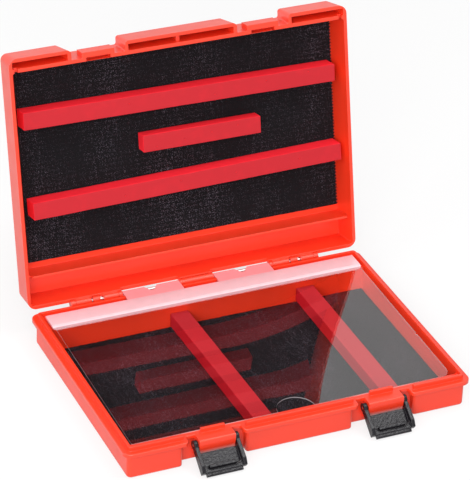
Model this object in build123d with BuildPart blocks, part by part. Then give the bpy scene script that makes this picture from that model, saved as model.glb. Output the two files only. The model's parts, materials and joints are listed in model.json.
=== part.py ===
from build123d import *
import math
import os

# A flat moulded tackle box, standing open: base tray, hinged lid, two latches, a hinged clear cover
# over the tray, loop liners, and foam bars held on hook tape.
# Millimetres. X runs along the hinge, Y from the latches to the hinge, Z up.
# The origin is the middle of the tray's underside.

# Case
case_width = 240.0
case_depth = 172.4
case_corner_radius = 6.0
parting_height = 19.7
flange_thickness = 2.6
flange_overhang = 3.0
flange_edge_radius = 0.5
tray_floor = 2.0
tray_wall = 2.0
tray_web = 2.4
tray_edge_radius = 1.6
tray_corner_radius = 2.0
tongue_height = 3.1
tongue_inset = 3.9
tongue_wall = 1.8

# Recess in the front of both halves at each latch
latch_offset = 58.5
recess_width = 37.3
recess_depth = 7.0
recess_overhang = 2.0
recess_nose_radius = 3.0
recess_root_radius = 1.0
least_nose_radius = 2.0

# Shelf along the tray's hinge side, with the lid's rib opposite its front edge
shelf_depth = 21.7
shelf_rib = 2.0
shelf_pocket_count = 6

# Lid, drawn closed and then turned open
lid_opening = 102.4
parting_gap = 0.15
lid_height = 22.45
lid_draft = 1.6
lid_recess_draft = 0.4
lid_draft_angle = 4.0
lid_wall = 2.4
lid_skin = 2.3
lid_side_wall = 2.2
lid_edge_radius = 1.4
lid_rib = 2.6
lid_channel_rib = 1.5
channel_rib_left_gap = 3.5
channel_rib_right_gap = 1.7
channel_rib_notch = 3.0
block_cavity_depth = 18.0
tongue_headroom = 0.4
tongue_side_gap = 0.3

# Catch on the lid at each latch, with a pad of the tray's tongue inside it
catch_width = 22.6
catch_reach = 3.7
catch_height = 9.6
catch_wall = 3.6
catch_roof = 2.45
pad_width = 16.2
pad_thickness = 1.9
pad_gap = 0.3

# Hinge: one long pin through knuckles on the tray and the lid, and loops on the cover
hinge_out = 1.77
hinge_up = 0.4
hinge_pin_radius = 1.25
pin_chamfer = 0.4
running_clearance = 0.05
knuckle_radius = 3.0
knuckle_gap = 0.2
knuckle_swing_gap = 0.3
knuckle_root = 1.0
knuckle_inset = 29.7
knuckle_cap = 1.0
pin_end_gap = 0.1
pin_recess = 0.3
outer_knuckle = 3.2
lid_outer_knuckle = 12.0
middle_knuckle = 4.8
lid_inner_knuckle = 13.3
inner_knuckle = 2.3
centre_knuckle = 24.4
hinge_slot = 1.3
hinge_window = 2.6

# Stops that hold the lid at its open angle, behind the two inner lid knuckles
stop_width = 8.0
stop_drop = 5.2
stop_thickness = 2.4
stop_gap = 0.15
stop_pad_height = 3.0

# Clear cover
sheet_lift = 0.25
sheet_thickness = 0.8
sheet_lap = 1.2
sheet_side_gap = 2.3
sheet_shear = 2.2
sheet_right_radius = 7.0
sheet_left_radius = 1.5
finger_radius = 12.7
edge_notch_radius = 1.2
edge_notch_y = -25.0
strip_side_gap = 2.3
strip_depth = 16.5
strip_setback = 8.7
strip_end_radius = 3.0
strip_slope = 4.4
strip_lip = 0.5
tab_thickness = 0.95
loop_clearance = 0.08
tab_side_gap = 0.4
tab_headroom = 0.5
tab_notch_width = 11.0
tab_notch_tip = 3.2
tab_notch_depth = 4.3

# Latches
latch_width = 30.4
latch_opening = 127.5
latch_pivot_inset = 2.7
latch_pivot_drop = 4.7
latch_arm = 2.4
latch_side_gap = 0.55
latch_eye_radius = 3.0
latch_front_depth = 2.4
latch_arm_rise_near = 1.8
latch_arm_rise_far = 3.1
latch_arm_length = 18.2
latch_arm_cut = 4.2
latch_arm_end = 3.8
latch_corner_radius = 1.2
latch_plate = 1.5
latch_plate_start = 5.9
latch_end_wall = 1.4
latch_end_rise = 3.0
latch_gusset_across = 4.2
latch_gusset_along = 3.4
latch_lip_length = 2.3
latch_lip_depth = 2.2
latch_lip_setback = 0.5
latch_lip_width = 24.4
hook_gap = 0.35
hook_thickness = 2.0
hook_bite = 1.0
hook_width = 18.5
latch_pin_radius = 1.0
latch_pin_fit = 0.02

# Boss on the tray that carries each latch
boss_reach = 1.1
boss_belly_radius = 12.8
boss_face_height = 3.3
boss_edge_radius = 1.2

# Liners
liner_thickness = 1.5
liner_corner_radius = 2.5
tray_liner_gap = 0.8
lid_liner_left_gap = 5.4
lid_liner_right_gap = 0.15
lid_liner_front_gap = 4.3
lid_liner_back_gap = 4.3

# Foam bars on hook tape: in the tray they run front to back, in the lid from side to side
bar_height = 9.6
tape_thickness = 0.6
tape_margin = 1.2
tray_bar_width = 12.8
tray_bar_gap = 0.3
tray_bar_left_x = -20.4
tray_bar_left_tilt = 1.2
tray_bar_right_x = 70.4
tray_bar_right_tilt = 0.0
lid_bar_width = 11.8
lid_long_bar_height = 13.0
upper_row = 36.6
upper_left_gap = 5.0
upper_right_gap = 4.6
upper_tilt = 0.73
short_row = 66.0
short_left_gap = 88.2
short_right_gap = 59.4
short_tilt = 0.4
lower_row = 96.0
lower_left_gap = 7.1
lower_right_gap = 2.3
lower_tilt = -0.77

# Places that follow from the sizes above
half_width = case_width / 2
half_depth = case_depth / 2
rim_back = half_depth
shelf_front = half_depth - shelf_depth
recess_back = -half_depth + recess_depth
tray_inner_x = half_width - tongue_inset - tongue_wall
tray_inner_front = recess_back + recess_overhang + tray_wall
flange_bottom = parting_height - flange_thickness
web_bottom = parting_height - tray_web
tongue_top = parting_height + tongue_height
lid_bottom = parting_height + parting_gap
lid_top = lid_bottom + lid_height
lid_ceiling = lid_top - lid_skin
lid_inner_x = half_width - lid_side_wall
lid_ceiling_x = lid_inner_x - (lid_ceiling - lid_bottom) * math.tan(math.radians(lid_draft_angle))
lid_inner_front = recess_back + lid_wall
lid_step = tongue_top + tongue_headroom
hinge_y = half_depth + hinge_out
hinge_z = parting_height + hinge_up
hinge_axis = Axis((0, hinge_y, hinge_z), (1, 0, 0))
pin_bore_radius = hinge_pin_radius + running_clearance
loop_bore_radius = hinge_pin_radius + loop_clearance
loop_radius = loop_bore_radius + tab_thickness
knuckle_end = half_width - knuckle_inset
sheet_bottom = parting_height + sheet_lift
sheet_top = sheet_bottom + sheet_thickness
sheet_front = tray_inner_front - sheet_lap
strip_back = half_depth - strip_setback
strip_top = hinge_z + loop_radius
latch_centres = (-latch_offset, latch_offset)
pivot_y = -half_depth + latch_pivot_inset
pivot_z = parting_height - latch_pivot_drop
catch_front = recess_back - catch_reach
catch_top = lid_bottom + catch_height
catch_cavity_front = catch_front + catch_wall
boss_front = -half_depth - boss_reach
boss_width = latch_width - 2 * latch_arm - 2 * latch_side_gap


def mirrored(spans):
    """The given spans of X together with their mirror images."""
    return [(-high, -low) for low, high in spans] + list(spans)


# Spans of X along the hinge pin, from its outer end inwards
outer_span = (knuckle_end - outer_knuckle, knuckle_end)
lid_outer_end = outer_span[0] - knuckle_gap
lid_outer_span = (lid_outer_end - lid_outer_knuckle, lid_outer_end)
middle_end = lid_outer_span[0] - knuckle_gap
middle_span = (middle_end - middle_knuckle, middle_end)
lid_inner_end = middle_span[0] - knuckle_gap
lid_inner_span = (lid_inner_end - lid_inner_knuckle, lid_inner_end)
inner_end = lid_inner_span[0] - knuckle_gap
inner_span = (inner_end - inner_knuckle, inner_end)
tab_span = (centre_knuckle / 2 + tab_side_gap, inner_span[0] - tab_side_gap)
tray_knuckles = mirrored([outer_span, middle_span, inner_span]) + [(-centre_knuckle / 2, centre_knuckle / 2)]
# Beside each middle knuckle a narrow and a wide gap show the pin, the same way round on both sides
lid_knuckles = [
    (-lid_outer_span[1], -lid_outer_span[0] - hinge_slot),
    (-lid_inner_span[1] + hinge_window, -lid_inner_span[0]),
    (lid_inner_span[0], lid_inner_span[1] - hinge_slot),
    (lid_outer_span[0] + hinge_window, lid_outer_span[1]),
]
tab_spans = mirrored([tab_span])
stop_centre = (lid_inner_span[0] + lid_inner_span[1]) / 2
stop_spans = mirrored([(stop_centre - stop_width / 2, stop_centre + stop_width / 2)])


def case_plan(height, inset, recess_inset):
    """Outline of the case at a height: the rim drawn in by an inset, with its two latch recesses."""
    half_x = half_width - inset
    half_y = half_depth - inset
    recess_y = recess_back + recess_inset
    nose_reach = latch_offset + recess_width
    with BuildSketch(Plane.XY.offset(height)) as plan:
        Rectangle(2 * half_x, 2 * half_y)
        for centre in latch_centres:
            with Locations((centre, -half_y)):
                Rectangle(recess_width + 2 * inset, 2 * (recess_y + half_y), mode=Mode.SUBTRACT)
        corners = plan.vertices().filter_by(lambda v: abs(abs(v.X) - half_x) < 0.01)
        fillet(corners, max(case_corner_radius - inset, least_nose_radius))
        noses = plan.vertices().filter_by(lambda v: abs(v.Y + half_y) < 0.01 and abs(v.X) < nose_reach)
        fillet(noses, max(recess_nose_radius - inset, least_nose_radius))
        roots = plan.vertices().filter_by(lambda v: abs(v.Y - recess_y) < 0.01)
        fillet(roots, recess_root_radius + inset / 3)
    return plan.sketch


def block(x_span, y_span, z_span, mode=Mode.ADD, radius=0.0, taper=0.0):
    """A block between three pairs of limits, with rounded upright edges or drafted sides if asked."""
    middle = ((x_span[0] + x_span[1]) / 2, (y_span[0] + y_span[1]) / 2)
    with BuildSketch(Plane.XY.offset(z_span[0])) as plan:
        with Locations(middle):
            Rectangle(x_span[1] - x_span[0], y_span[1] - y_span[0])
        if radius > 0:
            fillet(plan.vertices(), radius)
    extrude(plan.sketch, amount=z_span[1] - z_span[0], taper=taper, mode=mode)


def bar_along_x(x_span, y, z, radius, mode=Mode.ADD):
    """A round bar between two places on X."""
    with BuildSketch(Plane.YZ.offset(x_span[0])) as disc:
        with Locations((y, z)):
            Circle(radius)
    extrude(disc.sketch, amount=x_span[1] - x_span[0], mode=mode)


def widened(span, gap):
    """A span of X with a gap added at both ends."""
    return (span[0] - gap, span[1] + gap)


def turned(closed, axis, angle):
    """The piece turned about an axis, such as from its closed place to where it rests with the box open."""
    with BuildPart() as piece:
        add(closed.part.rotate(axis, angle))
    return piece


# Tray: outer walls under a wider rim
with BuildPart() as base_tray:
    extrude(case_plan(0, flange_overhang, recess_overhang), amount=parting_height)
    fillet(base_tray.faces().sort_by(Axis.Z)[0].edges(), tray_edge_radius)
    extrude(case_plan(flange_bottom, 0, 0), amount=flange_thickness)
    fillet(base_tray.faces().sort_by(Axis.Z)[-1].edges(), flange_edge_radius)

    # Bosses that carry the latches, with a rounded belly running back to the recess wall
    belly_y = boss_front + boss_belly_radius
    belly_z = parting_height - boss_face_height
    for centre in latch_centres:
        with BuildSketch(Plane.YZ.offset(centre - boss_width / 2)) as boss:
            with BuildLine():
                Polyline((belly_y, parting_height), (boss_front, parting_height), (boss_front, belly_z))
                RadiusArc((boss_front, belly_z), (belly_y, belly_z - boss_belly_radius), -boss_belly_radius)
                Line((belly_y, belly_z - boss_belly_radius), (belly_y, parting_height))
            make_face()
            top_corner = boss.vertices().filter_by(lambda v: v.Y > belly_z + 0.01).sort_by(Axis.X)[0]
            fillet(top_corner, boss_edge_radius)
        extrude(boss.sketch, amount=boss_width)

    # Inside of the tray
    block((-tray_inner_x, tray_inner_x), (tray_inner_front, shelf_front), (tray_floor, parting_height),
          Mode.SUBTRACT, tray_corner_radius)

    # Hollows under the front ledge and under the shelf, open below
    wall_inside = flange_overhang + tray_wall
    ledge_span = (-half_depth + wall_inside, tray_inner_front - tray_wall)
    recess_half = recess_width / 2 + wall_inside
    side_ledge = (latch_offset + recess_half, half_width - wall_inside)
    for span in mirrored([side_ledge]) + [(-latch_offset + recess_half, latch_offset - recess_half)]:
        block(span, ledge_span, (0, web_bottom), Mode.SUBTRACT)
    shelf_hollow = (shelf_front + tray_wall, half_depth - wall_inside)
    hollow_width = 2 * (half_width - wall_inside)
    pocket_pitch = (hollow_width + shelf_rib) / shelf_pocket_count
    for pocket in range(shelf_pocket_count):
        start = -hollow_width / 2 + pocket * pocket_pitch
        block((start, start + pocket_pitch - shelf_rib), shelf_hollow, (0, web_bottom), Mode.SUBTRACT)

    # Tongue round the rim, left out at the latches and where the cover's tabs cross it
    with BuildSketch(Plane.XY.offset(parting_height)) as tongue:
        tongue_x = half_width - tongue_inset
        tongue_y = half_depth - tongue_inset
        RectangleRounded(2 * tongue_x, 2 * tongue_y, case_corner_radius - tongue_inset)
        Rectangle(2 * (tongue_x - tongue_wall), 2 * (tongue_y - tongue_wall), mode=Mode.SUBTRACT)
        recess_gap = recess_width + 2 * (lid_wall + tongue_side_gap)
        with Locations(*[(centre, -tongue_y) for centre in latch_centres]):
            Rectangle(recess_gap, 4 * tongue_wall, mode=Mode.SUBTRACT)
        for span in tab_spans:
            with Locations(((span[0] + span[1]) / 2, tongue_y)):
                Rectangle(span[1] - span[0] + 2 * tab_side_gap, 4 * tongue_wall, mode=Mode.SUBTRACT)
        pad_y = catch_cavity_front + pad_gap + pad_thickness / 2
        with Locations(*[(centre, pad_y) for centre in latch_centres]):
            Rectangle(pad_width, pad_thickness)
    extrude(tongue.sketch, amount=tongue_height)

    # Hinge knuckles, pads that the lid's stops land on, and room for the lid's and cover's knuckles
    for span in tray_knuckles:
        bar_along_x(span, hinge_y, hinge_z, knuckle_radius)
        block(span, (rim_back - knuckle_root, hinge_y), (hinge_z - knuckle_radius, hinge_z))
    for span in stop_spans:
        block(span, (rim_back - flange_overhang - knuckle_root, rim_back),
              (flange_bottom - stop_pad_height, flange_bottom + knuckle_root))
    for span in lid_knuckles:
        bar_along_x(widened(span, knuckle_gap), hinge_y, hinge_z, knuckle_radius + knuckle_swing_gap,
                    Mode.SUBTRACT)
    for span in tab_spans:
        bar_along_x(widened(span, tab_side_gap), hinge_y, hinge_z, loop_radius + knuckle_swing_gap,
                    Mode.SUBTRACT)
    bar_along_x((-knuckle_end + knuckle_cap, knuckle_end), hinge_y, hinge_z, pin_bore_radius, Mode.SUBTRACT)
    for centre in latch_centres:
        bar_along_x((centre - boss_width / 2, centre + boss_width / 2), pivot_y, pivot_z,
                    latch_pin_radius + latch_pin_fit, Mode.SUBTRACT)
base_tray.part.label = "base_tray"

# Lid: a drafted shell with front blocks either side of the recesses, drawn closed
with BuildPart() as closed_lid:
    rim_plan = case_plan(lid_bottom, 0, 0)
    top_plan = case_plan(lid_top, lid_draft, lid_recess_draft)
    loft(sections=[rim_plan.faces()[0], top_plan.faces()[0]], ruled=True)
    fillet(closed_lid.faces().sort_by(Axis.Z)[-1].edges(), lid_edge_radius)

    # Catches, standing out of the recesses for the latches to hook over
    for centre in latch_centres:
        block((centre - catch_width / 2, centre + catch_width / 2), (catch_front, recess_back + lid_wall),
              (lid_bottom, catch_top))

    # Drafted inside of the lid, and the steps that let the tongue pass the front wall
    block((-lid_inner_x, lid_inner_x), (lid_inner_front, half_depth - lid_wall), (lid_bottom, lid_ceiling),
          Mode.SUBTRACT, tray_corner_radius, lid_draft_angle)
    step_outer = half_width - tongue_inset + tongue_side_gap
    step_inner = tray_inner_x - tongue_side_gap
    for span in mirrored([(step_inner, step_outer)]):
        block(span, (recess_back - lid_wall, lid_inner_front + lid_wall), (lid_bottom, lid_step),
              Mode.SUBTRACT)

    # Rib along the hinge side, lower at its ends, with a channel behind it
    rib_y = (shelf_front, shelf_front + lid_channel_rib)
    block((-lid_inner_x + channel_rib_left_gap, lid_inner_x - channel_rib_right_gap), rib_y,
          (lid_step, lid_ceiling + lid_skin / 2))
    block((-lid_inner_x, lid_inner_x), rib_y, (lid_step + channel_rib_notch, lid_ceiling + lid_skin / 2))

    # Hollow front blocks, the middle one with a rib above the tongue
    block_y = (-half_depth + lid_wall, recess_back)
    recess_side = recess_width / 2 + lid_wall
    hollow_top = lid_bottom + block_cavity_depth
    middle_half = latch_offset - recess_side
    for span in mirrored([(latch_offset + recess_side, half_width - lid_wall)]):
        block(span, block_y, (lid_bottom, hollow_top), Mode.SUBTRACT, taper=lid_draft_angle)
    block((-middle_half, middle_half), block_y, (lid_bottom, hollow_top), Mode.SUBTRACT,
          taper=lid_draft_angle)
    block((-lid_rib, 0), (block_y[0] - lid_wall / 2, block_y[1] + lid_wall / 2), (lid_step, hollow_top))

    # Hollow behind each catch for the tray's pad
    for centre in latch_centres:
        cavity_half = pad_width / 2 + pad_gap
        block((centre - cavity_half, centre + cavity_half), (catch_cavity_front, lid_inner_front),
              (lid_bottom, catch_top - catch_roof), Mode.SUBTRACT)

    # Knuckles, and room for the tray's knuckles and the cover's tabs
    for span in lid_knuckles:
        bar_along_x(span, hinge_y, hinge_z, knuckle_radius)
        block(span, (rim_back - knuckle_root, hinge_y), (hinge_z, hinge_z + knuckle_radius))
    for span in tray_knuckles:
        bar_along_x(widened(span, knuckle_gap), hinge_y, hinge_z, knuckle_radius + knuckle_swing_gap,
                    Mode.SUBTRACT)
    for span in tab_spans:
        block(widened(span, tab_side_gap), (half_depth - lid_wall - knuckle_root, hinge_y),
              (lid_bottom, strip_top + tab_headroom), Mode.SUBTRACT)
    bar_along_x((-knuckle_end, knuckle_end), hinge_y, hinge_z, pin_bore_radius, Mode.SUBTRACT)

# The lid turned open, with the stops that then bear on the tray's rim
lid_shell = turned(closed_lid, hinge_axis, -lid_opening)
with lid_shell:
    stop_face = rim_back + stop_gap
    for span in stop_spans:
        block(span, (stop_face, stop_face + stop_thickness), (hinge_z - stop_drop, hinge_z - hinge_pin_radius - 1))
lid_shell.part.label = "lid_shell"

# Hinge pin, blind at its left end
with BuildPart() as hinge_pin:
    bar_along_x((-knuckle_end + knuckle_cap + pin_end_gap, knuckle_end - pin_recess), hinge_y, hinge_z,
                hinge_pin_radius)
    chamfer(hinge_pin.edges().filter_by(GeomType.CIRCLE), pin_chamfer)
hinge_pin.part.label = "hinge_pin"

# Clear sheet: a little out of square, with a finger cut-out in its front edge
with BuildPart() as cover_sheet:
    with BuildSketch(Plane.XY.offset(sheet_bottom)) as sheet:
        sheet_half = tray_inner_x - sheet_side_gap
        with BuildLine():
            Polyline((-sheet_half + sheet_shear, strip_back), (sheet_half, strip_back),
                     (sheet_half - sheet_shear, sheet_front), (-sheet_half, sheet_front), close=True)
        make_face()
        fillet(sheet.vertices().group_by(Axis.Y)[0].sort_by(Axis.X)[-1], sheet_right_radius)
        fillet(sheet.vertices().group_by(Axis.Y)[0].sort_by(Axis.X)[0], sheet_left_radius)
        with Locations((0, sheet_front)):
            Circle(finger_radius, mode=Mode.SUBTRACT)
        with Locations((sheet_half - sheet_shear / 2, edge_notch_y)):
            Circle(edge_notch_radius, mode=Mode.SUBTRACT)
    extrude(sheet.sketch, amount=sheet_thickness)
cover_sheet.part.label = "cover_sheet"

# Strip along the sheet's hinge edge, with two tabs that end in loops round the hinge pin
with BuildPart() as cover_strip:
    strip_half = tray_inner_x - strip_side_gap
    with BuildSketch(Plane.XY.offset(sheet_top)) as strip:
        with Locations((0, strip_back - strip_depth / 2)):
            Rectangle(2 * strip_half, strip_depth)
        fillet(strip.vertices().sort_by(Axis.Y)[:2], strip_end_radius)
    extrude(strip.sketch, amount=strip_top - sheet_top)
    strip_front = strip_back - strip_depth
    with BuildSketch(Plane.YZ.offset(-half_width)) as slope:
        with BuildLine():
            Polyline((strip_front, sheet_top + strip_lip), (strip_front + strip_slope, strip_top),
                     (strip_front, strip_top), close=True)
        make_face()
    extrude(slope.sketch, amount=case_width, mode=Mode.SUBTRACT)
    for span in tab_spans:
        block(span, (strip_back - strip_end_radius, hinge_y), (strip_top - tab_thickness, strip_top))
        bar_along_x(span, hinge_y, hinge_z, loop_radius)
    bar_along_x((-half_width, half_width), hinge_y, hinge_z, loop_bore_radius, Mode.SUBTRACT)
    for span in tab_spans:
        notch_x = (span[0] + span[1]) / 2
        notch_back = hinge_y + loop_radius
        with BuildSketch(Plane.XY.offset(hinge_z - loop_radius)) as notch:
            with BuildLine():
                notch_front = notch_back - loop_radius - tab_notch_depth
                Polyline((notch_x - tab_notch_width / 2, notch_back),
                         (notch_x + tab_notch_width / 2, notch_back),
                         (notch_x + tab_notch_tip / 2, notch_front),
                         (notch_x - tab_notch_tip / 2, notch_front), close=True)
            make_face()
        extrude(notch.sketch, amount=2 * loop_radius, mode=Mode.SUBTRACT)
cover_strip.part.label = "cover_strip"


def latch(centre):
    """One latch: two arms with eyes, a face plate, a hook rib and a finger lip, drawn closed."""
    plate_front = pivot_y - latch_front_depth
    plate_back = plate_front + latch_plate
    plate_top = pivot_z + latch_arm_length + latch_end_wall
    full_span = (centre - latch_width / 2, centre + latch_width / 2)
    hook_bottom = catch_top + hook_gap
    with BuildPart() as piece:
        for side in (-1, 1):
            arm_x = centre + side * (latch_width - latch_arm) / 2
            with BuildSketch(Plane.YZ.offset(arm_x - latch_arm / 2)) as arm:
                with BuildLine():
                    Polyline((plate_front, pivot_z), (plate_front, plate_top),
                             (plate_front + latch_arm_end, plate_top),
                             (pivot_y + latch_arm_rise_far, plate_top - latch_arm_cut),
                             (pivot_y + latch_arm_rise_near, pivot_z), close=True)
                make_face()
                fillet(arm.vertices().group_by(Axis.Y)[-1].sort_by(Axis.X)[-1], latch_corner_radius)
                with Locations((pivot_y, pivot_z)):
                    Circle(latch_eye_radius)
            extrude(arm.sketch, amount=latch_arm)
        block(full_span, (plate_front, plate_back), (pivot_z + latch_plate_start, plate_top))
        block(widened(full_span, -latch_arm / 2), (plate_front, plate_front + latch_end_rise),
              (plate_top - latch_end_wall, plate_top))
        # Gussets between the arms and the end wall
        arm_inside = latch_width / 2 - latch_arm
        wall_inside_z = plate_top - latch_end_wall
        for side in (-1, 1):
            corner = centre + side * arm_inside
            with BuildSketch(Plane.XZ.offset(-plate_front - latch_end_rise)) as gusset:
                with BuildLine():
                    Polyline((corner, wall_inside_z), (corner, wall_inside_z - latch_gusset_along),
                             (corner - side * latch_gusset_across, wall_inside_z), close=True)
                make_face()
            extrude(gusset.sketch, amount=latch_end_rise)
        block((centre - hook_width / 2, centre + hook_width / 2), (plate_front, catch_front + hook_bite),
              (hook_bottom, hook_bottom + hook_thickness))
        lip_front = plate_front + latch_lip_setback
        lip_span = (centre - latch_lip_width / 2, centre + latch_lip_width / 2)
        with BuildSketch(Plane.YZ.offset(lip_span[0])) as lip:
            with Locations((lip_front + latch_lip_depth / 2, plate_top + latch_lip_length / 2)):
                Rectangle(latch_lip_depth, latch_lip_length)
            fillet(lip.vertices().sort_by(Axis.Y)[-2:], latch_lip_depth / 3)
        extrude(lip.sketch, amount=latch_lip_width)
        bar_along_x(full_span, pivot_y, pivot_z, latch_pin_radius + running_clearance, Mode.SUBTRACT)
    return piece


# Latches, turned down to where they hang open, and their pins
latch_axis = Axis((0, pivot_y, pivot_z), (1, 0, 0))
latches = {}
latch_pins = {}
for side, centre in zip(("left", "right"), latch_centres):
    latches[side] = turned(latch(centre), latch_axis, latch_opening)
    latches[side].part.label = "latch_" + side
    with BuildPart() as latch_pins[side]:
        bar_along_x((centre - latch_width / 2, centre + latch_width / 2), pivot_y, pivot_z, latch_pin_radius)
    latch_pins[side].part.label = "latch_pin_" + side

# Liners on the floors of the tray and the lid
with BuildPart() as base_liner:
    liner_x = tray_inner_x - tray_liner_gap
    block((-liner_x, liner_x), (tray_inner_front + tray_liner_gap, shelf_front - tray_liner_gap),
          (tray_floor, tray_floor + liner_thickness), radius=liner_corner_radius)
base_liner.part.label = "base_liner"

with BuildPart() as closed_lid_liner:
    block((-lid_ceiling_x + lid_liner_left_gap, lid_ceiling_x - lid_liner_right_gap),
          (lid_inner_front + lid_liner_front_gap, shelf_front - lid_liner_back_gap),
          (lid_ceiling - liner_thickness, lid_ceiling), radius=liner_corner_radius)
lid_liner = turned(closed_lid_liner, hinge_axis, -lid_opening)
lid_liner.part.label = "lid_liner"

# Bars and tapes in the tray
tray_pieces = {}
tray_liner_top = tray_floor + liner_thickness
tray_bar_y = (tray_inner_front + tray_bar_gap, shelf_front - tray_bar_gap)
tray_rows = (("left", tray_bar_left_x, tray_bar_left_tilt), ("right", tray_bar_right_x, tray_bar_right_tilt))
for side, bar_x, tilt in tray_rows:
    half_bar = tray_bar_width / 2
    half_tape = half_bar - tape_margin
    tape_y = (tray_bar_y[0] + tape_margin, tray_bar_y[1] - tape_margin)
    tape_top = tray_liner_top + tape_thickness
    with BuildPart() as straight_bar:
        block((bar_x - half_bar, bar_x + half_bar), tray_bar_y, (tape_top, tape_top + bar_height))
    with BuildPart() as straight_tape:
        block((bar_x - half_tape, bar_x + half_tape), tape_y, (tray_liner_top, tape_top))
    middle = Axis((bar_x, sum(tray_bar_y) / 2, 0), (0, 0, 1))
    tray_pieces["base_bar_" + side] = turned(straight_bar, middle, tilt)
    tray_pieces["base_tape_" + side] = turned(straight_tape, middle, tilt)

# Bars and tapes in the lid
lid_pieces = {}
lid_liner_face = lid_ceiling - liner_thickness
lid_rows = (
    ("upper", upper_row, upper_left_gap, upper_right_gap, lid_long_bar_height, upper_tilt),
    ("short", short_row, short_left_gap, short_right_gap, bar_height, short_tilt),
    ("lower", lower_row, lower_left_gap, lower_right_gap, lid_long_bar_height, lower_tilt),
)
for row, from_front, left_gap, right_gap, height, tilt in lid_rows:
    bar_y = lid_inner_front + from_front
    half_bar = lid_bar_width / 2
    half_tape = half_bar - tape_margin
    bar_x = (-lid_ceiling_x + left_gap, lid_ceiling_x - right_gap)
    tape_x = (bar_x[0] + tape_margin, bar_x[1] - tape_margin)
    tape_face = lid_liner_face - tape_thickness
    with BuildPart() as closed_bar:
        block(bar_x, (bar_y - half_bar, bar_y + half_bar), (tape_face - height, tape_face))
    with BuildPart() as closed_tape:
        block(tape_x, (bar_y - half_tape, bar_y + half_tape), (tape_face, lid_liner_face))
    middle = Axis((sum(bar_x) / 2, bar_y, 0), (0, 0, 1))
    lid_pieces["lid_bar_" + row] = turned(turned(closed_bar, middle, tilt), hinge_axis, -lid_opening)
    lid_pieces["lid_tape_" + row] = turned(turned(closed_tape, middle, tilt), hinge_axis, -lid_opening)

os.makedirs("parts", exist_ok=True)
export_step(base_tray.part, "parts/base_tray.step")
export_step(lid_shell.part, "parts/lid_shell.step")
export_step(hinge_pin.part, "parts/hinge_pin.step")
export_step(cover_sheet.part, "parts/cover_sheet.step")
export_step(cover_strip.part, "parts/cover_strip.step")
export_step(base_liner.part, "parts/base_liner.step")
export_step(lid_liner.part, "parts/lid_liner.step")
for side in ("left", "right"):
    export_step(latches[side].part, f"parts/latch_{side}.step")
    export_step(latch_pins[side].part, f"parts/latch_pin_{side}.step")
for name, piece in (tray_pieces | lid_pieces).items():
    piece.part.label = name
    export_step(piece.part, f"parts/{name}.step")
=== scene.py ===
import json
import math

import bpy
from mathutils import Matrix, Vector


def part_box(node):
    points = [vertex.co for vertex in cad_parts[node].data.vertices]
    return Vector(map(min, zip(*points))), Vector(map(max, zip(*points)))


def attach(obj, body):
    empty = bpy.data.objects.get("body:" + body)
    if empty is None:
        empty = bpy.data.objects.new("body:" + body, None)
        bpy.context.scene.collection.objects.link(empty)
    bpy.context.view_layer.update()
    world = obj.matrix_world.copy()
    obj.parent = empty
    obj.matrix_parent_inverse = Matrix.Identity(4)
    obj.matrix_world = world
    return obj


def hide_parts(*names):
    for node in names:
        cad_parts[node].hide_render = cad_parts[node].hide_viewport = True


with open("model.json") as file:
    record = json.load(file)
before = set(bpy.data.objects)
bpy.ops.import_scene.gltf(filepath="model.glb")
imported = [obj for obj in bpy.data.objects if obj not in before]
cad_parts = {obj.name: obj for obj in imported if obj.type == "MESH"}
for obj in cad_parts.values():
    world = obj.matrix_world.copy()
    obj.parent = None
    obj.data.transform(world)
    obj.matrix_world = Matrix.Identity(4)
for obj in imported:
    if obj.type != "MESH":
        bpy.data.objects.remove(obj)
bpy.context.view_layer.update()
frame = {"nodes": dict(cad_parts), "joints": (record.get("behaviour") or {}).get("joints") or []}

bl_info = {
    "name": "Tackle Box Dresser",
    "version": (1, 0, 0),
    "blender": (4, 5, 0),
    "location": "View3D > Sidebar > Tackle Box",
    "description": "Dresses a moulded tackle box: case, liners, foam bars, clear cover and latches",
    "category": "Object",
}

# The camera, worked out from the edges of the box
CAMERA_PLACE = Vector((-0.6677, -1.4278, 1.0499))
CAMERA_YAW = math.radians(24.653)
CAMERA_PITCH = math.radians(31.048)
CAMERA_ROLL = math.radians(2.320)
CAMERA_LENS = 216.2

# The lid's hinge: its parts are shaped closed and then turned open
LID_HINGE = next(j for j in frame["joints"] if j["name"] == "lid_hinge")
HINGE_PLACE = Vector(LID_HINGE["pos_m"])
LID_OPENING = math.radians(-LID_HINGE["range_deg"][0])
OPEN_LID = (
    Matrix.Translation(HINGE_PLACE)
    @ Matrix.Rotation(-LID_OPENING, 4, "X")
    @ Matrix.Translation(-HINGE_PLACE)
)
CLOSE_LID = OPEN_LID.inverted()
STAY = Matrix.Identity(4)

# How dense the milky strip is at shares of its depth: its front edge, its fold, its back edge and the tabs
STRIP_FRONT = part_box("cover_strip")[0][1]
STRIP_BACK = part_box("cover_sheet")[1][1]
STRIP_DENSITY = (
    (0.0, 0.3),
    (0.1, 0.4),
    (0.14, 1.0),
    (0.19, 0.82),
    (0.7, 0.68),
    (0.97, 0.55),
    (1.0, 0.88),
)
# From this share of its depth the strip's colour turns to the painted red light of its tabs
STRIP_TABS_FROM = 0.97

# How far the clear sheet is out of flat: its slope from front to back, and the twist of its right part
SHEET_TIP = -0.015
SHEET_TWIST = 7.5
SHEET_FLAT_TO_X = -0.01
SHEET_STILL_Y = -0.01

# Right of the tray's liner the sheet mirrors less, with a soft change between
SHEET_BORDER_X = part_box("base_liner")[1][0]
SHEET_BORDER_WIDTH = 0.003
SHEET_BORDER_MIRROR = 0.5

# How much light the front faces of the sheet mirror for both of its sides, against one face alone
SHEET_TWO_FACES = 1.7

# The floor lies a hair under the box, so that their faces don't flicker through each other
FLOOR_LEVEL = -0.0002
FLOOR_SIDE = 12

# How pale the floor is to the light that falls on the box, how pale where it is seen, and its glow there
FLOOR_BOUNCE = 0.35
FLOOR_SEEN = 0.9
FLOOR_GLOW = 0.75

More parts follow.
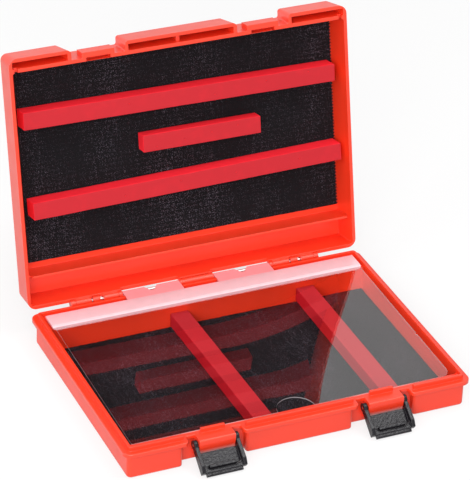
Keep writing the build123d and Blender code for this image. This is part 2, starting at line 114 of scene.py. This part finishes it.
# How strong the white room is as light on the box, and as what is seen
ROOM_LIGHT = 0.42
ROOM_SEEN = 1.0

# Each lamp: its place, the point it is aimed at, the side of its square and its power in watts
BOX_MIDDLE = (0, 0.05, 0.05)
TRAY_FRONT = (0, -0.09, 0.01)
LAMPS = {
    "key_lamp": ((-0.8, -1.45, 0.9), BOX_MIDDLE, 1.2, 31),
    "top_lamp": ((0.3, -0.15, 2.0), BOX_MIDDLE, 1.3, 11),
    "left_lamp": ((-1.5, -0.1, 1.1), BOX_MIDDLE, 1.2, 11),
    "plate_lamp": ((0.75, -0.62, 1.75), TRAY_FRONT, 0.45, 4.6),
}

# Foam bars run from front to back in the tray and from side to side in the lid, each on a tape of its own
TRAY_BARS = ("base_bar_left", "base_bar_right")
LID_BARS = ("lid_bar_upper", "lid_bar_short", "lid_bar_lower")
TRAY_TAPES = ("base_tape_left", "base_tape_right")
LID_TAPES = ("lid_tape_upper", "lid_tape_short", "lid_tape_lower")

# Spacing of the cuts that let a bar's faces wander, and the softened edge of a tape
BAR_SLICE = 0.004
TAPE_EDGE = 0.00012

# Points nearer to each other than this are at one place
SAME_PLACE = 1e-6

# Where hooks have pricked each bar: shares of its length, and of its width
PRICKS = {
    "lid_bar_upper": ((0.605, 0.65), (0.773, 0.33), (0.912, 0.2), (0.33, 0.4)),
    "lid_bar_short": ((0.111, 0.75), (0.349, 0.6), (0.58, 0.45), (0.804, 0.3)),
    "lid_bar_lower": ((0.289, 0.6), (0.649, 0.5), (0.47, 0.35), (0.86, 0.45)),
    "base_bar_left": ((0.5, 0.35), (0.5, 0.7)),
    "base_bar_right": ((0.5, 0.3), (0.5, 0.62)),
}


def linear(red, green, blue):
    """A screen colour, 0 to 255, as the linear colour that shaders use."""
    parts = []
    for value in (red, green, blue):
        share = value / 255
        parts.append(share / 12.92 if share <= 0.04045 else ((share + 0.055) / 1.055) ** 2.4)
    return (*parts, 1.0)


def colour(name, description, screen):
    """A colour property with its default given as a screen colour."""
    return bpy.props.FloatVectorProperty(
        name=name,
        description=description,
        subtype="COLOR",
        size=4,
        min=0,
        max=1,
        default=linear(*screen),
    )


def length(name, description, metres):
    """A length property in metres."""
    return bpy.props.FloatProperty(
        name=name,
        description=description,
        unit="LENGTH",
        subtype="DISTANCE",
        min=0,
        precision=5,
        default=metres,
    )


class TackleBoxCase(bpy.types.PropertyGroup):
    """Colours of the moulded parts."""

    plastic: colour("Case", "Red-orange case plastic", (240, 57, 27))
    latch: colour("Latches", "Dark latch plastic", (18, 15, 21))
    steel: colour("Pins", "Drawn wire of the pins", (214, 212, 210))
    milk: colour("Strip", "Milky strip along the clear cover", (255, 216, 222))
    # Painted red light: the red of the case showing through the thin tabs, painted on as a pinker colour
    tab_painted_red_light: colour("Tabs", "Pinker tone of the strip's thin tabs", (252, 158, 162))
    grain: length("Grain", "Size of the moulded texture's grain", 0.0006)


class TackleBoxSoft(bpy.types.PropertyGroup):
    """Sizes and colours of the foam and the liners."""

    foam: colour("Foam", "Skin of the crimson foam", (190, 43, 51))
    # The cut sides' colours are lit and shaded copies: lighter in the lid as painted light, darker in the
    # tray as painted shade
    foam_cut_painted_light: colour("Foam cut", "Cut sides of the bars in the lid", (250, 42, 56))
    foam_cut_tray_painted_shade: colour("Tray foam cut", "Cut sides of the bars in the tray", (192, 27, 40))
    liner: colour("Liner", "Near-black loop pile", (16, 14, 17))
    tape: colour("Hook tape", "Black hook tape", (16, 15, 16))
    edge: length("Foam edge", "Softened edge of a cut bar", 0.0004)
    sag: length("Foam wave", "How far a cut face wanders", 0.0003)
    prick: length("Prick", "Radius of a hook's prick in the foam", 0.00035)
    prick_depth: length("Prick depth", "Depth of a hook's prick", 0.0025)
    pile: length("Pile", "Height of the loops on a liner", 0.0003)
    loop_pitch: length("Loop pitch", "Spacing of the loops on a liner", 0.0011)
    tooth: length("Tooth", "Depth of the pinked edge of the lid's liner", 0.0013)


# Shader helpers


def fresh_material(name):
    """A new material, its node tree and its Principled shader."""
    made = bpy.data.materials.new(name)
    made.use_nodes = True
    tree = made.node_tree
    return made, tree, tree.nodes["Principled BSDF"]


def set_sockets(made, **values):
    """Set a node's input sockets by name, with underscores for spaces."""
    for key, value in values.items():
        made.inputs[key.replace("_", " ")].default_value = value


def node(tree, kind, **values):
    """A node with its input sockets set by name; names that end in an underscore set the node itself."""
    made = tree.nodes.new(kind)
    for key, value in values.items():
        if key.endswith("_"):
            setattr(made, key[:-1], value)
        else:
            set_sockets(made, **{key: value})
    return made


def object_place(tree):
    """The X, Y and Z of the Object coordinates."""
    place = node(tree, "ShaderNodeTexCoord")
    split = node(tree, "ShaderNodeSeparateXYZ")
    tree.links.new(place.outputs["Object"], split.inputs[0])
    return split.outputs


def noise(tree, size, detail=3.0, roughness=0.55, stretch=(1, 1, 1)):
    """Noise on Object coordinates, with features about size metres across."""
    place = node(tree, "ShaderNodeTexCoord")
    mapping = node(tree, "ShaderNodeMapping", Scale=stretch)
    made = node(tree, "ShaderNodeTexNoise", Scale=1 / size, Detail=detail, Roughness=roughness)
    tree.links.new(place.outputs["Object"], mapping.inputs["Vector"])
    tree.links.new(mapping.outputs["Vector"], made.inputs["Vector"])
    return made.outputs["Fac"]


def spread(tree, source, low, high, start=0.0, end=1.0):
    """A socket's span from start to end spread out between two values."""
    made = node(tree, "ShaderNodeMapRange", From_Min=start, From_Max=end, To_Min=low, To_Max=high)
    tree.links.new(source, made.inputs["Value"])
    return made.outputs["Result"]


def maths(tree, operation, first, second, clamp=False):
    """A Math node on two sockets or numbers."""
    made = node(tree, "ShaderNodeMath", operation_=operation, use_clamp_=clamp)
    for socket, value in zip(made.inputs, (first, second)):
        if isinstance(value, (int, float)):
            socket.default_value = value
        else:
            tree.links.new(value, socket)
    return made.outputs[0]


def bump(tree, shader, source, strength, distance, under=None):
    """Bump from a height socket, laid over an earlier bump if one is given."""
    made = node(tree, "ShaderNodeBump", Strength=strength, Distance=distance)
    tree.links.new(source, made.inputs["Height"])
    if under is not None:
        tree.links.new(under, made.inputs["Normal"])
    tree.links.new(made.outputs["Normal"], shader.inputs["Normal"])
    return made.outputs["Normal"]


def tint(tree, shader, source, dark, light, low=0.3, high=0.7):
    """Colour a shader from one colour to another over a span of a socket."""
    made = tree.nodes.new("ShaderNodeValToRGB")
    made.color_ramp.elements[0].position = low
    made.color_ramp.elements[0].color = dark
    made.color_ramp.elements[1].position = high
    made.color_ramp.elements[1].color = light
    tree.links.new(source, made.inputs["Fac"])
    tree.links.new(made.outputs["Color"], shader.inputs["Base Color"])


def grey_ramp(tree, source, stops):
    """Greys over a socket, each stop given as its place and how pale it is."""
    made = tree.nodes.new("ShaderNodeValToRGB")
    tree.links.new(source, made.inputs["Fac"])
    while len(made.color_ramp.elements) < len(stops):
        made.color_ramp.elements.new(0.5)
    for stop, (place, share) in zip(made.color_ramp.elements, stops):
        stop.position = place
        stop.color = (share, share, share, 1)
    return made.outputs["Color"]


def gloss(tree, shader, source, low, high):
    """Let a shader's roughness wander between two values."""
    tree.links.new(spread(tree, source, low, high), shader.inputs["Roughness"])


def mixed(tree, share, first, second):
    """Two shaders mixed by a socket, where 0 gives the first and 1 the second."""
    made = node(tree, "ShaderNodeMixShader")
    tree.links.new(share, made.inputs["Fac"])
    tree.links.new(first, made.inputs[1])
    tree.links.new(second, made.inputs[2])
    return made.outputs[0]


def surface(tree, source):
    """Make a shader the material's surface."""
    tree.links.new(source, tree.nodes["Material Output"].inputs["Surface"])


def shaded(base, share):
    """A colour made darker or lighter by a share."""
    return (*[min(1.0, part * share) for part in base[:3]], 1.0)


# Materials


def case_plastic(case):
    """Satin moulded plastic: a fine grain, faint flow marks and slightly uneven gloss."""
    made, tree, shader = fresh_material("case_plastic")
    flow = noise(tree, size=0.05, detail=2)
    tint(tree, shader, flow, dark=shaded(case.plastic, 0.95), light=shaded(case.plastic, 1.04))
    gloss(tree, shader, noise(tree, size=0.012), low=0.3, high=0.42)
    set_sockets(shader, Specular_IOR_Level=0.7)
    edges = node(tree, "ShaderNodeBevel", samples_=6, Radius=0.0006).outputs["Normal"]
    grain = noise(tree, size=case.grain, detail=2)
    grain = bump(tree, shader, grain, strength=0.12, distance=case.grain * 0.2, under=edges)
    bump(tree, shader, noise(tree, size=0.03, detail=1), strength=0.1, distance=0.0006, under=grain)
    return made


def latch_plastic(case):
    """Dark plastic with a leathery moulded texture."""
    made, tree, shader = fresh_material("latch_plastic")
    mottle = noise(tree, size=0.002, detail=4)
    tint(tree, shader, mottle, dark=shaded(case.latch, 0.75), light=shaded(case.latch, 1.3), low=0.35)
    gloss(tree, shader, noise(tree, size=0.0012, detail=2), low=0.1, high=0.36)
    set_sockets(shader, Specular_IOR_Level=0.32)
    edges = node(tree, "ShaderNodeBevel", samples_=6, Radius=0.0007).outputs["Normal"]
    bump(tree, shader, noise(tree, size=0.0016), strength=0.6, distance=0.0003, under=edges)
    return made


def wire_steel(case):
    """Drawn wire with fine lines along its length."""
    made, tree, shader = fresh_material("wire_steel")
    lines = noise(tree, size=0.0004, detail=2, stretch=(0.05, 1, 1))
    tint(tree, shader, lines, dark=shaded(case.steel, 0.85), light=shaded(case.steel, 1.1))
    gloss(tree, shader, lines, low=0.25, high=0.4)
    set_sockets(shader, Metallic=1.0)
    return made


def sheet_bow(tree):
    """Height of the faint twist of the sheet, which bends what it mirrors, in metres."""
    across, along, _ = object_place(tree)
    from_middle = maths(tree, "SUBTRACT", along, SHEET_STILL_Y)
    from_flat = maths(tree, "MAXIMUM", maths(tree, "SUBTRACT", across, SHEET_FLAT_TO_X), 0.0)
    rising = maths(tree, "MULTIPLY", from_flat, from_flat)
    twist = maths(tree, "MULTIPLY", maths(tree, "MULTIPLY", from_middle, rising), SHEET_TWIST)
    return maths(tree, "ADD", twist, maths(tree, "MULTIPLY", along, SHEET_TIP))


def mirrored_share(tree):
    """How much the sheet mirrors: by angle, from its front faces only, and less at its right border."""
    by_angle = node(tree, "ShaderNodeFresnel", IOR=1.5).outputs["Fac"]
    backfacing = node(tree, "ShaderNodeNewGeometry").outputs["Backfacing"]
    front_only = spread(tree, backfacing, low=SHEET_TWO_FACES, high=0.0)
    share = maths(tree, "MULTIPLY", by_angle, front_only, clamp=True)
    border_end = SHEET_BORDER_X + SHEET_BORDER_WIDTH
    across, _, _ = object_place(tree)
    border = spread(tree, across, low=1.0, high=SHEET_BORDER_MIRROR, start=SHEET_BORDER_X, end=border_end)
    return maths(tree, "MULTIPLY", share, border)


def cut_edges(tree):
    """1 on the upright faces of a flat piece, which are its cut edges."""
    place = node(tree, "ShaderNodeTexCoord")
    facing = node(tree, "ShaderNodeSeparateXYZ")
    tree.links.new(place.outputs["Normal"], facing.inputs[0])
    lying = maths(tree, "ABSOLUTE", facing.outputs["Z"], 0.0)
    return maths(tree, "LESS_THAN", lying, 0.5)


def clear_plastic():
    """Thin clear sheet that mirrors a little and lets the lamps' light through, with frosted cut edges."""
    made, tree, frosted = fresh_material("clear_plastic")
    passing = node(tree, "ShaderNodeBsdfTransparent", Color=(0.985, 0.985, 0.985, 1))
    mirror = node(tree, "ShaderNodeBsdfAnisotropic", Color=(1, 1, 1, 1))
    gloss(tree, mirror, noise(tree, size=0.004, detail=4), low=0.01, high=0.04)
    bump(tree, mirror, sheet_bow(tree), strength=1.0, distance=1.0)
    lamp_ray = node(tree, "ShaderNodeLightPath").outputs["Is Shadow Ray"]
    share = maths(tree, "SUBTRACT", mirrored_share(tree), lamp_ray, clamp=True)
    clear = mixed(tree, share, passing.outputs[0], mirror.outputs[0])
    set_sockets(frosted, Base_Color=(0.8, 0.8, 0.84, 1), Roughness=0.3, Alpha=0.3)
    surface(tree, mixed(tree, cut_edges(tree), clear, frosted.outputs[0]))
    return made


def milky_plastic(case):
    """Milky strip that lets the red beneath show through, with the red light through its thin tabs painted
    on as a pinker colour.
    """
    made, tree, shader = fresh_material("milky_plastic")
    set_sockets(shader, Roughness=0.25, Coat_Weight=0.6, Coat_Roughness=0.12)
    _, along, _ = object_place(tree)
    depth = spread(tree, along, low=0.0, high=1.0, start=STRIP_FRONT, end=STRIP_BACK)
    # The tabs take the painted red light of the case beneath as their colour
    tint(tree, shader, depth, dark=case.milk, light=case.tab_painted_red_light, low=STRIP_TABS_FROM, high=1.0)
    density = grey_ramp(tree, depth, STRIP_DENSITY)
    clouded = spread(tree, noise(tree, size=0.006), low=0.92, high=1.06)
    tree.links.new(maths(tree, "MULTIPLY", density, clouded), shader.inputs["Alpha"])
    bump(tree, shader, noise(tree, size=0.008, detail=2), strength=0.2, distance=0.0003)
    return made


def foam_material(name, skin, cut, skin_faces):
    """Matte closed-cell foam: a moulded skin on one side, cut sides whose colour carries painted light in
    the lid and painted shade in the tray, and tiny cells.
    """
    made, tree, shader = fresh_material(name)
    place = node(tree, "ShaderNodeTexCoord")
    facing = node(tree, "ShaderNodeVectorMath", operation_="DOT_PRODUCT")
    facing.inputs[1].default_value = skin_faces
    tree.links.new(place.outputs["Normal"], facing.inputs[0])
    dye = spread(tree, noise(tree, size=0.01, detail=4), low=-0.12, high=0.12)
    skinned = maths(tree, "ADD", facing.outputs["Value"], dye)
    # Faces turned to the skin side take the skin colour; the rest take the cut colour, which holds painted
    # light in the lid and painted shade in the tray
    tint(tree, shader, skinned, dark=cut, light=skin, low=0.5, high=1.1)
    set_sockets(shader, Roughness=0.7, Specular_IOR_Level=0.12)
    cells = bump(tree, shader, noise(tree, size=0.0004, detail=2), strength=0.25, distance=0.0001)
    bump(tree, shader, noise(tree, size=0.004), strength=0.15, distance=0.0003, under=cells)
    return made


def loop_pile(soft):
    """Near-black loop pile with bright flecks, in rows and patches, where loops catch the light."""
    made, tree, shader = fresh_material("loop_pile")
    loop_size = 0.65 * soft.loop_pitch
    tip_radius = 0.42
    place = node(tree, "ShaderNodeTexCoord")
    loops = node(tree, "ShaderNodeTexVoronoi", Scale=1 / loop_size, Randomness=0.7)
    tree.links.new(place.outputs["Object"], loops.inputs["Vector"])
    tip = maths(tree, "SUBTRACT", tip_radius, loops.outputs["Distance"], clamp=True)
    rows = noise(tree, size=soft.loop_pitch, detail=1, stretch=(1, 0.12, 0.12))
    patches = noise(tree, size=0.03, detail=2, stretch=(1, 0.4, 0.4))
    rows_lit = spread(tree, rows, low=0.2, high=1.8)
    patches_lit = spread(tree, patches, low=0.1, high=1.9)
    flecks = maths(tree, "MULTIPLY", tip, maths(tree, "MULTIPLY", rows_lit, patches_lit))
    tint(tree, shader, flecks, dark=soft.liner, light=shaded(soft.liner, 46), low=0.14, high=0.46)
    set_sockets(shader, Roughness=0.85, Specular_IOR_Level=0.15)
    bump(tree, shader, noise(tree, size=soft.loop_pitch * 0.5), strength=0.8, distance=0.0005)
    return made


def hook_plastic(soft):
    """Black nylon of the hook tape."""
    made, tree, shader = fresh_material("hook_nylon")
    mottle = noise(tree, size=0.002)
    tint(tree, shader, mottle, dark=shaded(soft.tape, 0.8), light=shaded(soft.tape, 1.5))
    set_sockets(shader, Roughness=0.45)
    return made


# Modelling helpers


def deselect():
    """Leave edit mode and deselect everything."""
    if bpy.context.object is not None and bpy.context.object.mode != "OBJECT":
        bpy.ops.object.mode_set(mode="OBJECT")
    bpy.ops.object.select_all(action="DESELECT")


def select_only(piece):
    """Make a piece the active one and the only one selected."""
    deselect()
    piece.select_set(True)
    bpy.context.view_layer.objects.active = piece


def node_span(name, to_drawn):
    """Lowest and highest corner of a CAD node, brought back to where it is drawn."""
    mesh_object = frame["nodes"][name]
    places = [to_drawn @ vertex.co for vertex in mesh_object.data.vertices]
    low = Vector([min(place[i] for place in places) for i in range(3)])
    high = Vector([max(place[i] for place in places) for i in range(3)])
    return low, high


def bar_tilt(name, to_drawn, axis):
    """How far a bar lies askew, as a turn about Z, read from the face at its end."""
    turn = to_drawn.to_3x3()
    faces = [turn @ face.normal for face in frame["nodes"][name].data.polygons]
    end = max(faces, key=lambda normal: normal[axis])
    return math.atan2(end.y, end.x) - axis * math.pi / 2


def bar_place(name, in_lid, axis):
    """How a bar or its tape is turned to its place, and its two corners before that."""
    placing = OPEN_LID if in_lid else STAY
    placing = placing @ Matrix.Rotation(bar_tilt(name, placing.inverted(), axis), 4, "Z")
    low, high = node_span(name, placing.inverted())
    return placing, low, high


def cube(name, low, high):
    """A cube between two corners, active and alone selected."""
    deselect()
    bpy.ops.mesh.primitive_cube_add(size=1, location=(low + high) / 2)
    made = bpy.context.object
    made.name = name
    made.scale = high - low
    bpy.ops.object.transform_apply(location=True, rotation=True, scale=True)
    return made


def apply_modifier(piece, kind, **values):
    """Add a modifier, set it and apply it."""
    added = piece.modifiers.new(kind.title(), kind)
    for key, value in values.items():
        setattr(added, key, value)
    bpy.context.view_layer.objects.active = piece
    bpy.ops.object.modifier_apply(modifier=added.name)


def cut_across(piece, low, high, axis, pitch):
    """Cut a piece into even slices along one axis."""
    select_only(piece)
    bpy.ops.object.mode_set(mode="EDIT")
    normal = [0, 0, 0]
    normal[axis] = 1
    count = int((high[axis] - low[axis]) / pitch)
    for step in range(1, count):
        place = list((low + high) / 2)
        place[axis] = low[axis] + step * (high[axis] - low[axis]) / count
        bpy.ops.mesh.select_all(action="SELECT")
        bpy.ops.mesh.bisect(plane_co=place, plane_no=normal)
    bpy.ops.object.mode_set(mode="OBJECT")


def clouds(name, size):
    """A procedural cloud texture for a Displace modifier."""
    made = bpy.data.textures.new(name, "CLOUDS")
    made.noise_scale = size
    return made


def finish_piece(piece, material, placing, body, replaced):
    """Turn a piece to its place, give it its finish, hang it on its body and hide the CAD node it replaces.
    """
    piece.data.transform(placing)
    piece.data.materials.clear()
    piece.data.materials.append(material)
    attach(piece, body)
    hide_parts(replaced)


def dress(name, material):
    """Give a carried-over CAD node its finish."""
    mesh_object = frame["nodes"][name]
    mesh_object.data.materials.clear()
    mesh_object.data.materials.append(material)


class TACKLEBOX_OT_case(bpy.types.Operator):
    """Finish the tray and the lid in satin plastic"""

    bl_idname = "tacklebox.case"
    bl_label = "Case"

    def execute(self, context):
        material = case_plastic(context.scene.tackle_box_case)
        dress("base_tray", material)
        dress("lid_shell", material)
        return {"FINISHED"}


class TACKLEBOX_OT_hardware(bpy.types.Operator):
    """Finish the latches and the pins"""

    bl_idname = "tacklebox.hardware"
    bl_label = "Latches and pins"

    def execute(self, context):
        case = context.scene.tackle_box_case
        plastic = latch_plastic(case)
        steel = wire_steel(case)
        for side in ("left", "right"):
            dress("latch_" + side, plastic)
            dress("latch_pin_" + side, steel)
        dress("hinge_pin", steel)
        return {"FINISHED"}


class TACKLEBOX_OT_cover(bpy.types.Operator):
    """Finish the clear cover and its milky strip"""

    bl_idname = "tacklebox.cover"
    bl_label = "Clear cover"

    def execute(self, context):
        dress("cover_sheet", clear_plastic())
        dress("cover_strip", milky_plastic(context.scene.tackle_box_case))
        return {"FINISHED"}


class TACKLEBOX_OT_foam_bars(bpy.types.Operator):
    """Make the foam bars, with softened edges, wandering faces and hook pricks"""

    bl_idname = "tacklebox.foam_bars"
    bl_label = "Foam bars"

    def execute(self, context):
        soft = context.scene.tackle_box_soft
        up = Vector((0, 0, 1))
        out_of_lid = OPEN_LID.to_3x3() @ -up
        # The tray's bars get cut sides with painted shade, the lid's bars cut sides with painted light
        tray_foam = foam_material("tray_foam", soft.foam, soft.foam_cut_tray_painted_shade, skin_faces=up)
        lid_foam = foam_material("lid_foam", soft.foam, soft.foam_cut_painted_light, skin_faces=out_of_lid)
        wander = clouds("foam_wander", size=0.03)
        for node_name in TRAY_BARS + LID_BARS:
            in_lid = node_name in LID_BARS
            axis = 0 if in_lid else 1
            placing, low, high = bar_place(node_name, in_lid, axis)
            piece = cube(node_name.replace("bar", "foam"), low, high)
            apply_modifier(piece, "BEVEL", width=soft.edge, segments=3)
            cut_across(piece, low, high, axis, BAR_SLICE)
            apply_modifier(
                piece, "DISPLACE", texture=wander, strength=soft.sag, mid_level=0.5, texture_coords="GLOBAL"
            )
            self.prick(piece, node_name, low, high, axis, soft, down=in_lid)
            material = lid_foam if in_lid else tray_foam
            finish_piece(piece, material, placing, "lid" if in_lid else "base", node_name)
        return {"FINISHED"}

    def prick(self, piece, node_name, low, high, axis, soft, down):
        """Cut the small round holes that hooks leave in the open face of a bar."""
        across = 1 - axis
        face = low.z if down else high.z
        for along_share, across_share in PRICKS[node_name]:
            place = [0, 0, face]
            place[axis] = low[axis] + along_share * (high[axis] - low[axis])
            place[across] = low[across] + across_share * (high[across] - low[across])
            deselect()
            bpy.ops.mesh.primitive_cylinder_add(
                vertices=10, radius=soft.prick, depth=2 * soft.prick_depth, location=place
            )
            drill = bpy.context.object
            apply_modifier(piece, "BOOLEAN", object=drill, operation="DIFFERENCE", solver="EXACT")
            bpy.data.objects.remove(drill, do_unlink=True)


class TACKLEBOX_OT_liners(bpy.types.Operator):
    """Make the loop liners of the tray and the lid"""

    bl_idname = "tacklebox.liners"
    bl_label = "Liners"

    def execute(self, context):
        soft = context.scene.tackle_box_soft
        material = loop_pile(soft)
        loops = clouds("loops", size=soft.loop_pitch * 0.6)
        for node_name, body in (("base_liner", "base"), ("lid_liner", "lid")):
            in_lid = body == "lid"
            low, high = node_span(node_name, CLOSE_LID if in_lid else STAY)
            back = high.z if in_lid else low.z
            face = low.z + soft.pile if in_lid else high.z - soft.pile
            piece = self.fine_grid(low, high, face, soft.loop_pitch)
            piece.name = node_name.replace("liner", "loop_liner")
            if in_lid:
                self.pink_edge(piece, high.x, soft.tooth)
            apply_modifier(
                piece,
                "DISPLACE",
                texture=loops,
                strength=2 * soft.pile,
                mid_level=0.5,
                direction="Z",
                texture_coords="GLOBAL",
            )
            self.back_with(piece, back)
            finish_piece(piece, material, OPEN_LID if in_lid else STAY, body, node_name)
        return {"FINISHED"}

    def fine_grid(self, low, high, face, pitch):
        """A flat grid at the height of a liner's face, as fine as its loops."""
        size = high - low
        columns = int(size.x / pitch)
        rows = int(size.y / pitch)
        deselect()
        bpy.ops.mesh.primitive_grid_add(x_subdivisions=columns, y_subdivisions=rows, size=1)
        made = bpy.context.object
        made.scale = (size.x, size.y, 1)
        made.location = ((low.x + high.x) / 2, (low.y + high.y) / 2, face)
        bpy.ops.object.transform_apply(location=True, rotation=True, scale=True)
        return made

    def pink_edge(self, piece, edge_x, tooth):
        """Push every other point of the right edge in, as pinking shears leave it."""
        select_only(piece)
        edge = [v for v in piece.data.vertices if abs(v.co.x - edge_x) < SAME_PLACE]
        edge.sort(key=lambda v: v.co.y)
        for part in (piece.data.vertices, piece.data.edges, piece.data.polygons):
            for item in part:
                item.select = False
        for vertex in edge[::2]:
            vertex.select = True
        bpy.ops.object.mode_set(mode="EDIT")
        bpy.ops.transform.translate(value=(-tooth, 0, 0))
        bpy.ops.object.mode_set(mode="OBJECT")

    def back_with(self, piece, back):
        """Close the pile with straight sides and a flat back."""
        select_only(piece)
        bpy.ops.object.mode_set(mode="EDIT")
        bpy.ops.mesh.select_mode(type="EDGE")
        bpy.ops.mesh.select_all(action="SELECT")
        bpy.ops.mesh.region_to_loop()
        bpy.ops.mesh.extrude_edges_move()
        bpy.ops.transform.resize(value=(1, 1, 0))
        bpy.ops.object.mode_set(mode="OBJECT")
        outline = [v for v in piece.data.vertices if v.select]
        shift = back - sum(v.co.z for v in outline) / len(outline)
        bpy.ops.object.mode_set(mode="EDIT")
        bpy.ops.transform.translate(value=(0, 0, shift))
        bpy.ops.mesh.edge_face_add()
        bpy.ops.mesh.select_all(action="SELECT")
        bpy.ops.mesh.normals_make_consistent(inside=False)
        bpy.ops.object.mode_set(mode="OBJECT")


class TACKLEBOX_OT_hook_tapes(bpy.types.Operator):
    """Make the hook tapes under the foam bars"""

    bl_idname = "tacklebox.hook_tapes"
    bl_label = "Hook tapes"

    def execute(self, context):
        soft = context.scene.tackle_box_soft
        material = hook_plastic(soft)
        for node_name in TRAY_TAPES + LID_TAPES:
            in_lid = node_name in LID_TAPES
            placing, low, high = bar_place(node_name, in_lid, axis=0 if in_lid else 1)
            piece = cube(node_name.replace("tape", "hook_tape"), low, high)
            apply_modifier(piece, "BEVEL", width=TAPE_EDGE, segments=2)
            finish_piece(piece, material, placing, "lid" if in_lid else "base", node_name)
        return {"FINISHED"}


def area_light(name, place, target, side, power):
    """A soft square lamp aimed at a point."""
    lamp = bpy.data.lights.new(name, "AREA")
    lamp.shape = "SQUARE"
    lamp.size = side
    lamp.energy = power
    holder = bpy.data.objects.new(name, lamp)
    bpy.context.scene.collection.objects.link(holder)
    holder.location = place
    aim = Vector(target) - Vector(place)
    holder.rotation_euler = aim.to_track_quat("-Z", "Y").to_euler()


class TACKLEBOX_OT_stage(bpy.types.Operator):
    """Set the floor, the lamps, the world and the camera"""

    bl_idname = "tacklebox.stage"
    bl_label = "Stage"

    def execute(self, context):
        self.floor()
        self.world(context.scene)
        for name, (place, target, side, power) in LAMPS.items():
            area_light(name, place, target, side, power)
        self.camera(context.scene)
        context.scene.view_settings.view_transform = "Standard"
        return {"FINISHED"}

    def floor(self):
        """A wide pale floor that reads as white from the camera but keeps the shadow."""
        deselect()
        bpy.ops.mesh.primitive_plane_add(size=FLOOR_SIDE, location=(0, 0, FLOOR_LEVEL))
        ground = bpy.context.object
        ground.name = "floor"
        made, tree, shader = fresh_material("pale_floor")
        set_sockets(shader, Roughness=0.8)
        white = node(tree, "ShaderNodeEmission", Strength=1.0)
        seen = self.seen_ray(tree)
        tone = spread(tree, seen, low=FLOOR_BOUNCE, high=FLOOR_SEEN)
        tree.links.new(tone, shader.inputs["Base Color"])
        share = maths(tree, "MULTIPLY", seen, FLOOR_GLOW)
        surface(tree, mixed(tree, share, shader.outputs[0], white.outputs[0]))
        ground.data.materials.append(made)

    def seen_ray(self, tree):
        """1 for rays that show the surroundings: to the camera, in reflections and through clear parts."""
        path = node(tree, "ShaderNodeLightPath")
        total = path.outputs["Is Camera Ray"]
        for name in ("Is Glossy Ray", "Is Transmission Ray"):
            total = maths(tree, "ADD", total, path.outputs[name], clamp=True)
        return total

    def world(self, scene):
        """Plain white surroundings, less strong as light than as what is seen."""
        sky = bpy.data.worlds.new("white_room")
        sky.use_nodes = True
        tree = sky.node_tree
        backdrop = tree.nodes["Background"]
        backdrop.inputs["Color"].default_value = (1, 1, 1, 1)
        strength = spread(tree, self.seen_ray(tree), low=ROOM_LIGHT, high=ROOM_SEEN)
        tree.links.new(strength, backdrop.inputs["Strength"])
        scene.world = sky

    def camera(self, scene):
        """The camera at the worked-out place, yaw, pitch and roll."""
        forward = Vector((
            math.sin(CAMERA_YAW) * math.cos(CAMERA_PITCH),
            math.cos(CAMERA_YAW) * math.cos(CAMERA_PITCH),
            -math.sin(CAMERA_PITCH),
        ))
        level = Vector((math.cos(CAMERA_YAW), -math.sin(CAMERA_YAW), 0))
        upward = level.cross(forward)
        right = level * math.cos(CAMERA_ROLL) + upward * math.sin(CAMERA_ROLL)
        top = upward * math.cos(CAMERA_ROLL) - level * math.sin(CAMERA_ROLL)
        view = bpy.data.cameras.new("camera")
        view.lens = CAMERA_LENS
        holder = bpy.data.objects.new("camera", view)
        scene.collection.objects.link(holder)
        turn = Matrix((right, top, -forward)).transposed().to_4x4()
        holder.matrix_world = Matrix.Translation(CAMERA_PLACE) @ turn
        scene.camera = holder


class TACKLEBOX_PT_panel(bpy.types.Panel):
    """Sizes, colours and steps of the tackle box"""

    bl_idname = "TACKLEBOX_PT_panel"
    bl_label = "Tackle Box"
    bl_space_type = "VIEW_3D"
    bl_region_type = "UI"
    bl_category = "Tackle Box"

    def draw(self, context):
        layout = self.layout
        for settings in (context.scene.tackle_box_case, context.scene.tackle_box_soft):
            box = layout.box()
            for key in settings.__annotations__:
                box.prop(settings, key)
        for step in STEPS:
            layout.operator(step.bl_idname)


STEPS = (
    TACKLEBOX_OT_case,
    TACKLEBOX_OT_hardware,
    TACKLEBOX_OT_cover,
    TACKLEBOX_OT_foam_bars,
    TACKLEBOX_OT_liners,
    TACKLEBOX_OT_hook_tapes,
    TACKLEBOX_OT_stage,
)
CLASSES = (TackleBoxCase, TackleBoxSoft, *STEPS, TACKLEBOX_PT_panel)


def register():
    for item in CLASSES:
        bpy.utils.register_class(item)
    bpy.types.Scene.tackle_box_case = bpy.props.PointerProperty(type=TackleBoxCase)
    bpy.types.Scene.tackle_box_soft = bpy.props.PointerProperty(type=TackleBoxSoft)


def unregister():
    del bpy.types.Scene.tackle_box_case
    del bpy.types.Scene.tackle_box_soft
    for item in reversed(CLASSES):
        bpy.utils.unregister_class(item)


def main():
    """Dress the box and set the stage."""
    register()
    bpy.ops.tacklebox.case()
    bpy.ops.tacklebox.hardware()
    bpy.ops.tacklebox.cover()
    bpy.ops.tacklebox.foam_bars()
    bpy.ops.tacklebox.liners()
    bpy.ops.tacklebox.hook_tapes()
    bpy.ops.tacklebox.stage()


if __name__ == "__main__":
    main()
